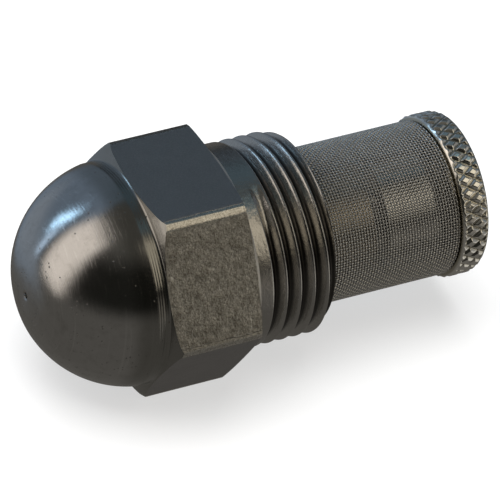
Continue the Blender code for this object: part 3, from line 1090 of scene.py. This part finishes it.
PANELS = [
    # azimuth, elevation, half width, half height, blur, colour
    (98, 4, 30, 32, 12, (0.22, 0.22, 0.215)),
    (116, -18, 25, 14, 10, (0.55, 0.53, 0.49)),
    (-16, 14, 34, 50, 9, (0.155, 0.20, 0.26)),
    (-26, -16, 26, 18, 12, (0.25, 0.29, 0.34)),
    (-76, 25, 18, 36, 7.5, (1.04, 0.95, 0.86)),
    (-38, 25, 3.2, 12, 2.5, (1.7, 2.7, 3.7)),
    (-47, 6, 1.5, 14, 3, (0.8, 1.05, 1.35)),
    (60, 8, 30, 20, 10, (0.12, 0.145, 0.175)),
    (38, 50, 18, 16, 10, (0.085, 0.125, 0.155)),
    (104, 66, 9, 5, 5, (0.2, 0.33, 0.4)),
    (150, -3, 8, 12, 6, (0.25, 0.23, 0.20)),
    (140, 41, 14, 24, 3, (0.78, 0.705, 0.565)),
]

# What lies behind the panels, and the pale ground that only the camera sees.
GROUND = (0.112, 0.107, 0.098)
HORIZON = (0.014, 0.014, 0.012)
ZENITH = (0.095, 0.092, 0.082)
BACKDROP = (0.93, 0.93, 0.93)


def make_world():
    """Soft panels in dim surroundings, and a pale backdrop that only the camera sees."""
    world = bpy.data.worlds.new("studio")
    bpy.context.scene.world = world
    world.use_nodes = True
    g = Graph(world.node_tree)
    direction = g.node("ShaderNodeTexCoord").outputs["Generated"]
    height = g.xyz(direction)[2]
    colour = g.mix(g.step(height, -0.25, 0.1), GROUND, HORIZON)
    colour = g.mix(g.step(height, 0.6, 0.95), colour, ZENITH)
    for azimuth, elevation, wide, high, blur, light in PANELS:
        mask = panel(g, direction, azimuth, elevation, wide, high, blur)
        colour = g.mix(mask, colour, light)
    seen = g.node("ShaderNodeLightPath").outputs["Is Camera Ray"]
    colour = g.mix(seen, colour, BACKDROP)
    background = g.node("ShaderNodeBackground")
    g.plug(background.inputs["Color"], colour)
    output = g.node("ShaderNodeOutputWorld")
    g.tree.links.new(background.outputs[0], output.inputs[0])


def make_floor():
    """A pale floor that the metal doesn't mirror."""
    bm = bmesh.new()
    bmesh.ops.create_grid(bm, x_segments=2, y_segments=2, size=3.0)
    mesh = bpy.data.meshes.new("floor")
    bm.to_mesh(mesh)
    bm.free()
    floor = bpy.data.objects.new("floor", mesh)
    bpy.context.scene.collection.objects.link(floor)
    floor.location = (0, 0, CAD_BOX[0].z - 0.00002)
    floor.visible_glossy = False
    mat = bpy.data.materials.new("pale_floor")
    mat.use_nodes = True
    shader = mat.node_tree.nodes["Principled BSDF"]
    shader.inputs["Base Color"].default_value = (0.4, 0.4, 0.4, 1.0)
    shader.inputs["Roughness"].default_value = 0.8
    shader.inputs["Emission Color"].default_value = (1.0, 1.0, 1.0, 1.0)
    shader.inputs["Emission Strength"].default_value = 0.6
    mesh.materials.append(mat)


def soft_light(name, place, size, power):
    """A square softbox that lights the floor and not the metal."""
    light = bpy.data.lights.new(name, "AREA")
    light.size = size
    light.energy = power
    obj = bpy.data.objects.new(name, light)
    bpy.context.scene.collection.objects.link(obj)
    obj.location = place
    obj.rotation_euler = (-Vector(place)).to_track_quat("-Z", "Y").to_euler()
    obj.visible_glossy = False


def make_camera():
    azimuth = math.radians(CAMERA_AZIMUTH)
    elevation = math.radians(CAMERA_ELEVATION)
    roll = math.radians(CAMERA_ROLL)
    back = Vector((
        math.sin(azimuth) * math.cos(elevation),
        -math.cos(azimuth) * math.cos(elevation),
        math.sin(elevation),
    ))
    level = Vector((math.cos(azimuth), math.sin(azimuth), 0))
    upright = back.cross(level)
    right = level * math.cos(roll) + upright * math.sin(roll)
    up = upright * math.cos(roll) - level * math.sin(roll)
    cam = bpy.data.cameras.new("camera")
    cam.lens = CAMERA_LENS
    cam.sensor_width = 36
    cam.clip_start = 0.01
    cam.clip_end = 10
    obj = bpy.data.objects.new("camera", cam)
    bpy.context.scene.collection.objects.link(obj)
    turned = Matrix((right, up, back)).transposed().to_4x4()
    obj.matrix_world = Matrix.Translation(CAMERA_PLACE) @ turned
    bpy.context.scene.camera = obj


make_camera()
make_world()
make_floor()
soft_light("top_light", (-0.1, 0.1, 0.9), 0.9, 14)
bpy.context.scene.view_settings.view_transform = "Standard"

make_body()
make_fitting()
make_core()
make_screen()
make_cap()
dress_inner_pieces()
